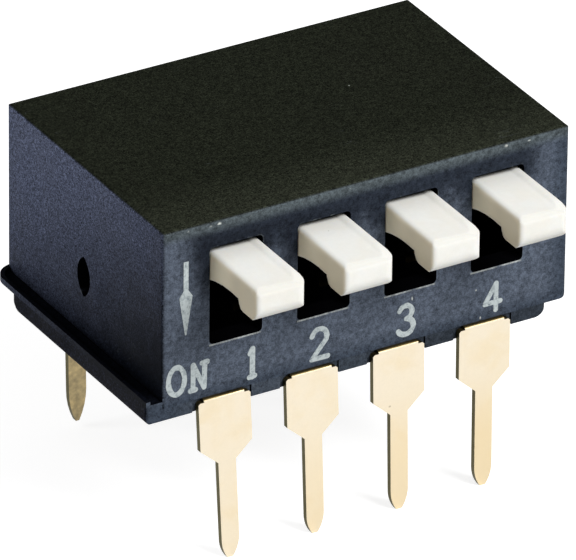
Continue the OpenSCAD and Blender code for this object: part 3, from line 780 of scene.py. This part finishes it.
def bar(start, end, width_start, width_end, sides=10):
    """Outline of a round-ended bar, as points in order."""
    run = end - start
    heading = math.atan2(run.y, run.x)
    outline = []
    for centre, width, first in ((end, width_end, -0.5), (start, width_start, 0.5)):
        for k in range(sides + 1):
            angle = heading + math.pi * (first + k / sides)
            outline.append(centre + Vector((math.cos(angle), math.sin(angle))) * width / 2)
    return outline


def raised_sign(name, outlines):
    """One thin solid on the front face, merged from flat outlines in millimetres."""
    points = []
    faces = []
    for outline in outlines:
        faces.append(list(range(len(points), len(points) + len(outline))))
        points.extend(outline)
    places, _, triangles, _, _, sources = delaunay_2d_cdt(points, [], faces, 1, 1e-5)
    mesh = bmesh.new()
    corners = [mesh.verts.new((p.x * MM, (front_y + 0.001) * MM, p.y * MM)) for p in places]
    for triangle, source in zip(triangles, sources):
        if source:
            mesh.faces.new([corners[k] for k in triangle])
    raised = bmesh.ops.extrude_face_region(mesh, geom=mesh.faces[:])["geom"]
    lift = Vector((0, -(INK_THICKNESS + 0.001) * MM, 0))
    bmesh.ops.translate(mesh, vec=lift, verts=[g for g in raised if isinstance(g, bmesh.types.BMVert)])
    bmesh.ops.recalc_face_normals(mesh, faces=mesh.faces[:])
    data = bpy.data.meshes.new(name)
    mesh.to_mesh(data)
    mesh.free()
    sign = bpy.data.objects.new(name, data)
    bpy.context.scene.collection.objects.link(sign)
    data.materials.append(marking_ink)
    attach(sign, "root")
    return sign


print("stroke", STROKE, "mm, ink", INK_THICKNESS, "mm")

# %% [markdown]
# ## The letters and numbers
# Each character is drawn in a box from 0 to 1 and then stretched to its measured place on
# the face. Straight strokes are lists of points, round ones are arcs. The width of the
# stroke wavers a little, as a pad print does.


# %% Draw the characters
def arc(centre_x, centre_z, radius_x, radius_z, first, last, count=14):
    """Points along a stretched arc, with angles in degrees."""
    angles = [math.radians(first + (last - first) * k / count) for k in range(count + 1)]
    return [(centre_x + radius_x * math.cos(a), centre_z + radius_z * math.sin(a))
            for a in angles]


CHARACTERS = {
    "letter_o": [arc(0.5, 0.5, 0.5, 0.5, 0, 360, 28)],
    "letter_n": [[(0.12, 0.0), (0.12, 1.0), (0.86, 0.0), (0.88, 1.0)],
                 [(-0.04, 0.0), (0.28, 0.0)], [(0.70, 1.0), (1.04, 1.0)]],
    "number_1": [[(0.1, 0.84), (0.55, 1.0), (0.55, 0.0)], [(0.0, 0.0), (1.0, 0.02)]],
    "number_2": [arc(0.48, 0.72, 0.46, 0.28, 165, -25) + [(0.02, 0.03), (1.0, 0.03)]],
    "number_3": [arc(0.45, 0.77, 0.42, 0.23, 160, -75) + arc(0.45, 0.27, 0.52, 0.27, 85, -155)],
    "number_4": [[(0.72, 0.0), (0.72, 1.0), (0.0, 0.3), (1.0, 0.3)]],
}
PLACES = {
    "letter_o": (-5.435, -4.825, 2.161, 3.081),
    "letter_n": (-4.775, -4.195, 2.161, 3.021),
    "number_1": (-3.095, -2.795, 2.081, 3.031),
    "number_2": (-1.295, -0.675, 2.061, 3.071),
    "number_3": (1.255, 1.845, 2.081, 3.051),
    "number_4": (3.795, 4.395, 2.071, 2.981),
}


def draw_character(name):
    """The bars of one character, in millimetres on the front face."""
    left, right_, low, high = PLACES[name]
    inset = STROKE / 2
    bars = []
    for stroke in CHARACTERS[name]:
        chain = [Vector((left + inset + x * (right_ - left - STROKE),
                         low + inset + z * (high - low - STROKE))) for x, z in stroke]
        widths = [STROKE * random.uniform(0.9, 1.1) for _ in chain]
        for k in range(len(chain) - 1):
            bars.append(bar(chain[k], chain[k + 1], widths[k], widths[k + 1]))
    return raised_sign(name, bars)


for character in PLACES:
    sign = draw_character(character)
    print(character, "has", len(sign.data.polygons), "faces")

# %% [markdown]
# ## The arrow
# The arrow points down to ON. Its shaft is a thin bar and its head a long, narrow wedge
# with small shoulders, drawn as two plain outlines that the same helper merges.

# %% Draw the arrow
ARROW_X = -4.870
SHAFT_TOP = 5.951
SHAFT_HALF = 0.07
HEAD_TOP = 5.131
SHOULDER_Z = 4.951
HEAD_HALF = 0.19
TIP_Z = 3.871

shaft = [Vector(p) for p in (
    (ARROW_X - SHAFT_HALF, SHAFT_TOP), (ARROW_X - SHAFT_HALF, HEAD_TOP - 0.1),
    (ARROW_X + SHAFT_HALF, HEAD_TOP - 0.1), (ARROW_X + SHAFT_HALF, SHAFT_TOP))]
head = [Vector(p) for p in (
    (ARROW_X - SHAFT_HALF, HEAD_TOP), (ARROW_X - HEAD_HALF, SHOULDER_Z),
    (ARROW_X - 0.02, TIP_Z), (ARROW_X + 0.02, TIP_Z),
    (ARROW_X + HEAD_HALF, SHOULDER_Z), (ARROW_X + SHAFT_HALF, HEAD_TOP))]
arrow = raised_sign("arrow", [shaft, head])
print("arrow has", len(arrow.data.polygons), "faces")

# %% [markdown]
# ## The floor
# The part stands on a white sheet. A white floor would never reach full white by lamps
# alone without burning out the levers, so it also glows a little. Light Path tells the rays
# apart: the camera sees the whole glow, reflections see seven tenths of it, and it lights
# nothing. The floor's diffuse share keeps the shadow.

# %% Lay the floor
FLOOR_SIZE = 3000 * MM
FLOOR_WHITE = linear(188, 188, 188)
floor_z = cad_bounds[0][2]

floor_mesh = bpy.data.meshes.new("floor")
half = FLOOR_SIZE / 2
floor_mesh.from_pydata([(-half, -half, floor_z), (half, -half, floor_z), (half, half, floor_z),
                        (-half, half, floor_z)], [], [(0, 1, 2, 3)])
floor = bpy.data.objects.new("floor", floor_mesh)
bpy.context.scene.collection.objects.link(floor)

sheet, tree, shader = new_material("white_sheet", Roughness=0.9, Specular_IOR_Level=0.0)
texture = use(tree, grain, grain_size=0.3, contrast=0.01)
tree.links.new(tinted(tree, FLOOR_WHITE, texture["Tint"]), shader.inputs["Base Color"])
path = add(tree, "LightPath").outputs
seen = calculate(tree, "ADD", path["Is Camera Ray"], path["Is Transmission Ray"])
seen = calculate(tree, "ADD", seen, calculate(tree, "MULTIPLY", path["Is Glossy Ray"], 0.7))
seen = calculate(tree, "MINIMUM", seen, 1.0)
FLOOR_GLOW = 0.8
tree.links.new(mix(tree, seen, (0, 0, 0, 1), (1, 1, 1, 1)), shader.inputs["Emission Color"])
shader.inputs["Emission Strength"].default_value = FLOOR_GLOW
floor_mesh.materials.append(sheet)
print("floor at z =", round(floor_z / MM, 2), "mm")

# %% [markdown]
# ## The world
# The room is a white tent below and dark above. The camera always sees white. Reflections
# see white near the horizon and hardly anything overhead, which is why the top of the
# switch looks dull black. The light that falls on the part from all sides stays low.

# %% Set up the world
AMBIENT = 0.32
OVERHEAD = 0.05
HORIZON = 0.25

world = bpy.data.worlds.new("studio")
bpy.context.scene.world = world
world.use_nodes = True
tree = world.node_tree
tree.nodes.clear()
path = add(tree, "LightPath").outputs
height = add(tree, "SeparateXYZ", {0: add(tree, "TexCoord").outputs["Generated"]}).outputs[2]
tent = remap(tree, height, HORIZON, 0.02, OVERHEAD, 1.0)
glossy = calculate(tree, "MULTIPLY", path["Is Glossy Ray"], tent)
diffuse = calculate(tree, "MULTIPLY", path["Is Diffuse Ray"], AMBIENT)
seen = calculate(tree, "ADD", path["Is Camera Ray"], path["Is Transmission Ray"])
strength = calculate(tree, "ADD", calculate(tree, "ADD", glossy, diffuse), seen)
background = add(tree, "Background", {"Color": (1, 1, 1, 1),
                                      "Strength": calculate(tree, "MINIMUM", strength, 1.0)})
add(tree, "OutputWorld", {"Surface": background.outputs[0]})
print("world ready, ambient", AMBIENT)

# %% [markdown]
# ## The lamps
# One broad soft lamp stands in front, to the right and above: it makes the fronts of the
# levers the brightest faces and throws their shade to the left. A weak, slightly cool lamp
# from the left lifts the end wall and the left sides of the levers. Both aim at the part.


# %% Place the lamps
def soft_lamp(name, place_mm, size_mm, watts, colour=(1, 1, 1)):
    """A square area lamp that looks at the middle of the part."""
    data = bpy.data.lights.new(name, "AREA")
    data.size = size_mm * MM
    data.energy = watts
    data.color = colour
    lamp = bpy.data.objects.new(name, data)
    bpy.context.scene.collection.objects.link(lamp)
    lamp.location = Vector(place_mm) * MM
    lamp.rotation_euler = (VIEW_CENTRE - lamp.location).to_track_quat("-Z", "Y").to_euler()
    return lamp


key = soft_lamp("key", (64, -134, 134), 90, 0.375)
fill = soft_lamp("side_fill", (-120, 40, 80), 60, 0.05, (0.96, 0.97, 1.0))
print("lamps:", key.name, fill.name)

# %% [markdown]
# ## Colour management
# The Standard view transform writes colours as they are.

# %% Finish
bpy.context.scene.view_settings.view_transform = "Standard"
